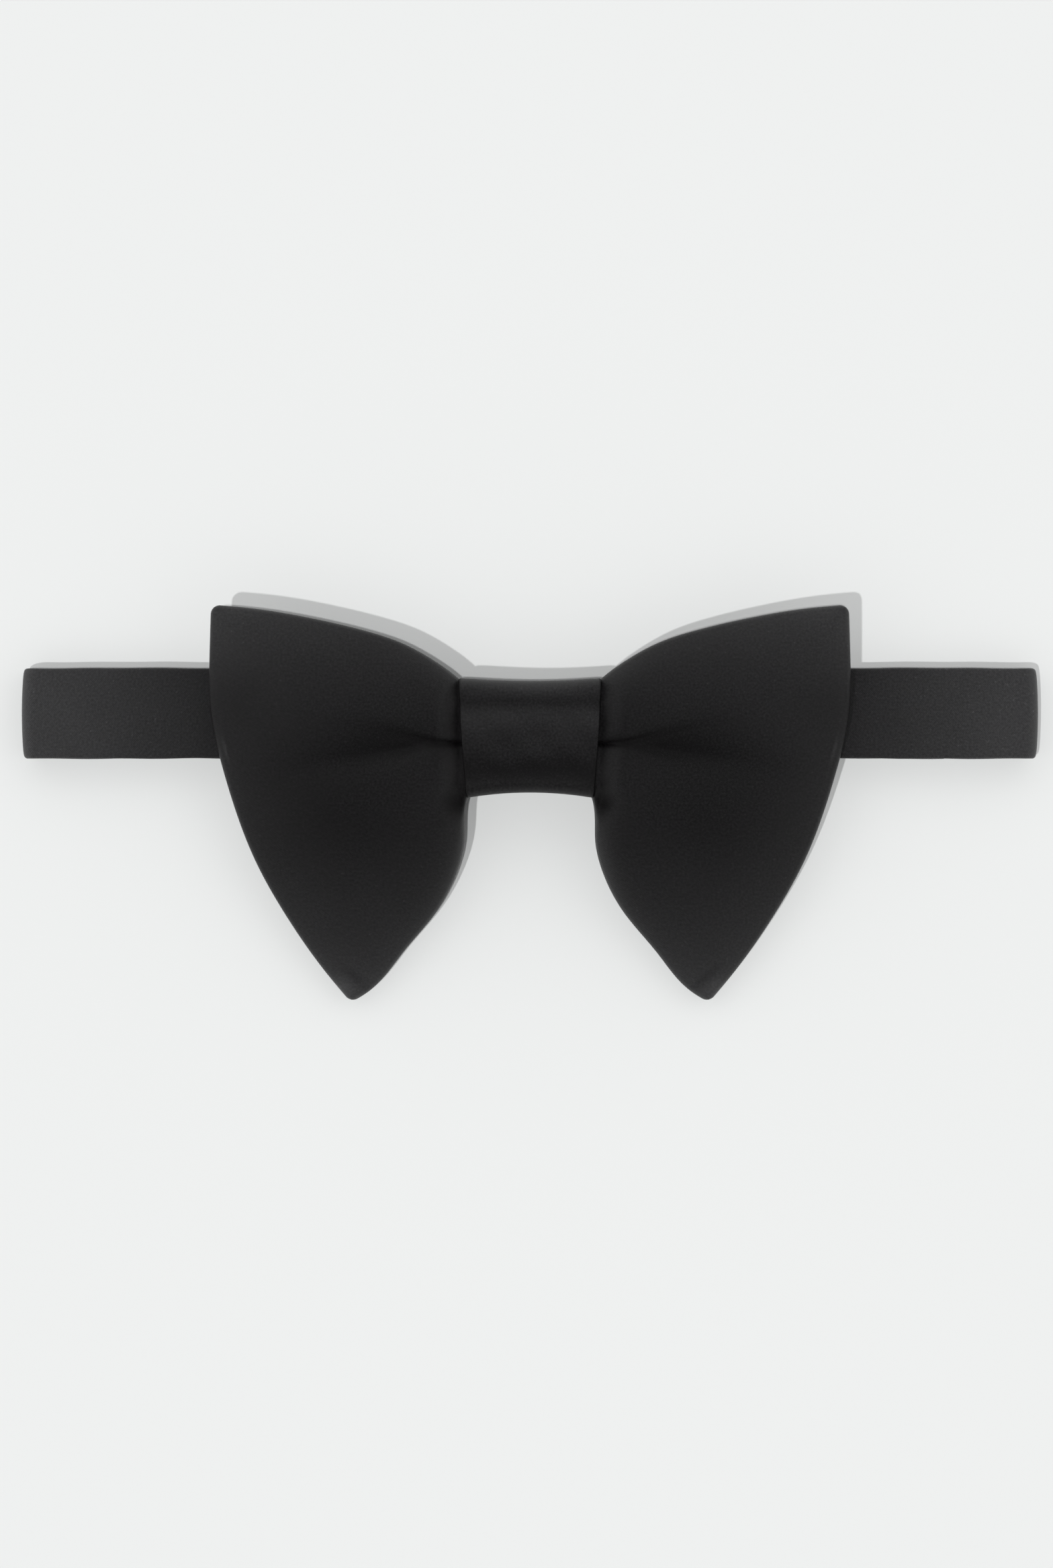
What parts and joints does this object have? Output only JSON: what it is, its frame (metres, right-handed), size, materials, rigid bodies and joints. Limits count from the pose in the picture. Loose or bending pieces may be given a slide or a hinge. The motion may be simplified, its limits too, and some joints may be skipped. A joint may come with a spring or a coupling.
{
  "type": "bow tie",
  "caption": "Pre-tied bow tie with pointed wings, a pleated centre knot and an adjustable neckband closed by a hook and eye at the back.",
  "frame": {"origin": "on the resting plane under the middle of the knot, on the neckband's centreline, at the underside of the rear strand", "axes": "+X along the neckband, to the viewer's right; +Y up the face of the bow, away from the wing tips; +Z out of the face of the bow"},
  "size_m": [0.208, 0.0802, 0.019],
  "materials": {
    "black_satin": "satin weave",
    "black_thread": "spun sewing thread",
    "interlining": "plain woven interlining",
    "dark_metal": "dark nickel plate",
    "label_ribbon": "woven ribbon"
  },
  "bodies": {
    "bow": {"bow_front_panel": "black_satin", "bow_back_panel": "black_satin", "bow_interlining": "interlining", "waist_thread": "black_thread", "knot_wrap": "black_satin", "knot_interlining": "interlining", "knot_seam_stitches": "black_thread", "band_front": "black_satin", "band_front_lining": "interlining", "care_label": "label_ribbon", "label_stitches": "black_thread"},
    "left_band": {"band_left_fold": "black_satin", "band_left": "black_satin", "band_left_lining": "interlining", "band_hook_loop": "black_satin", "hook_loop_stitches": "black_thread"},
    "hook": {"hook": "dark_metal"},
    "right_band": {"band_right_fold": "black_satin", "band_right": "black_satin", "band_right_lining": "interlining", "eye": "dark_metal", "band_eye_strand": "black_satin", "band_slider_run": "black_satin", "band_return_run": "black_satin"},
    "slider": {"slider": "dark_metal", "band_end_loop": "black_satin", "end_loop_stitches": "black_thread"}
  },
  "joints": [
    {"name": "left_swing", "type": "hinge", "parent": "bow", "child": "left_band", "pos_m": [-0.10105, 0, 0.00295], "axis": [0, 1, 0], "range_deg": [0, 180], "deforming": ["band_left_fold"]},
    {"name": "right_swing", "type": "hinge", "parent": "bow", "child": "right_band", "pos_m": [0.10105, 0, 0.00295], "axis": [0, -1, 0], "range_deg": [0, 180], "deforming": ["band_right_fold"]},
    {"name": "hook_slide", "type": "slide", "parent": "left_band", "child": "hook", "axis": [1, 0, 0], "range_m": [0, 0.0032]},
    {"name": "slider_travel", "type": "slide", "parent": "right_band", "child": "slider", "axis": [1, 0, 0], "range_m": [-0.014, 0.014], "deforming": ["band_slider_run", "band_return_run"]}
  ]
}
